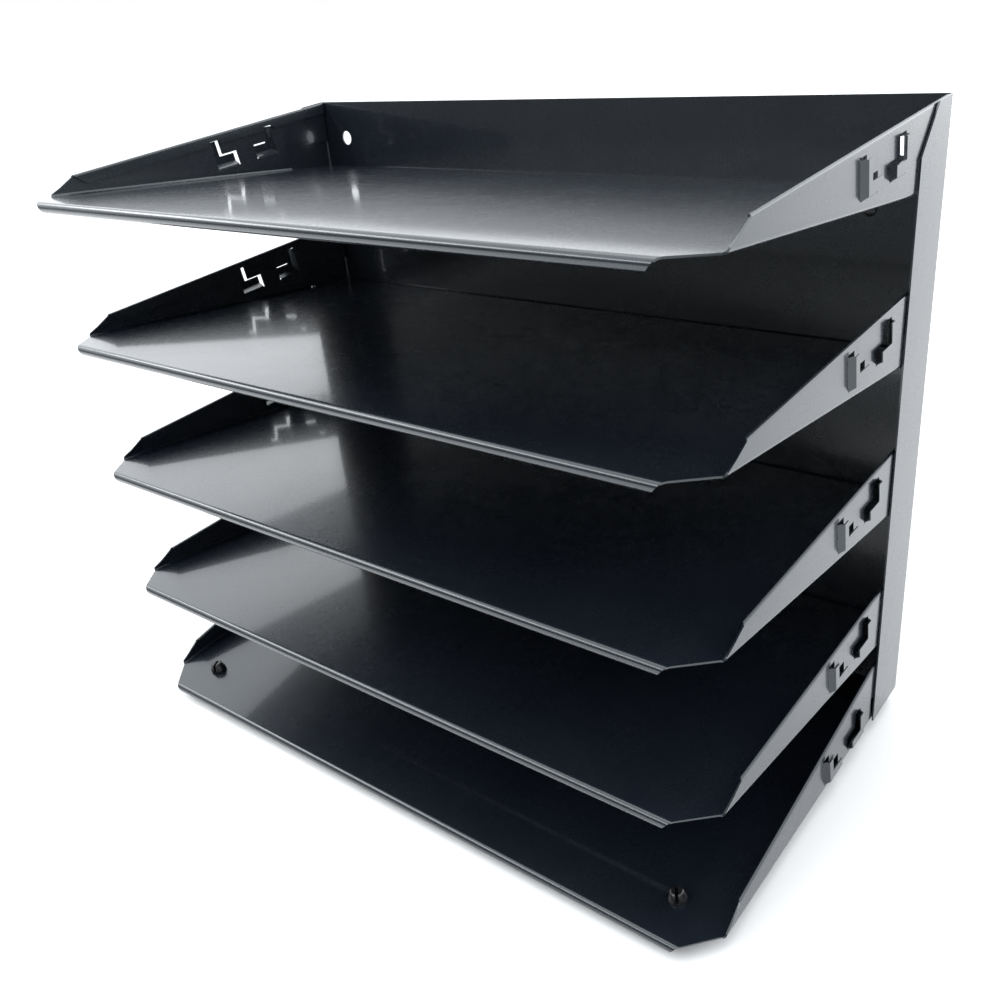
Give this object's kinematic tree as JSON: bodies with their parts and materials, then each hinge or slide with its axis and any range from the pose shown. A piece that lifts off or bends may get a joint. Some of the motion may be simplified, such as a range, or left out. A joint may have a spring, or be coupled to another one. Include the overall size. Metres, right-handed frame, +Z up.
{
  "type": "desktop file sorter",
  "caption": "Stepped horizontal file sorter: folded black steel trays with sloping hemmed sides and a rolled front lip, riveted one above another to a leaning back panel, on rubber feet.",
  "frame": {"origin": "middle of the footprint, on the surface that the rubber feet stand on", "axes": "+Z up, the trays open towards -Y, +X to the right of a person facing the open front"},
  "size_m": [0.3838, 0.2284, 0.2795],
  "materials": {
    "enamelled_steel": "gloss black baked enamel with faint orange peel",
    "rivet_steel": "satin black",
    "foot_rubber": "matt black"
  },
  "bodies": {
    "root": {"back_panel": "enamelled_steel", "tray_1": "enamelled_steel", "tray_2": "enamelled_steel", "tray_3": "enamelled_steel", "tray_4": "enamelled_steel", "base_tray": "enamelled_steel", "tray_1_rivet_left": "rivet_steel", "tray_1_rivet_right": "rivet_steel", "tray_2_rivet_left": "rivet_steel", "tray_2_rivet_right": "rivet_steel", "tray_3_rivet_left": "rivet_steel", "tray_3_rivet_right": "rivet_steel", "tray_4_rivet_left": "rivet_steel", "tray_4_rivet_right": "rivet_steel", "base_tray_rivet_left": "rivet_steel", "base_tray_rivet_right": "rivet_steel", "foot_front_left": "foot_rubber", "foot_front_right": "foot_rubber", "foot_rear_left": "foot_rubber", "foot_rear_right": "foot_rubber"}
  },
  "joints": []
}
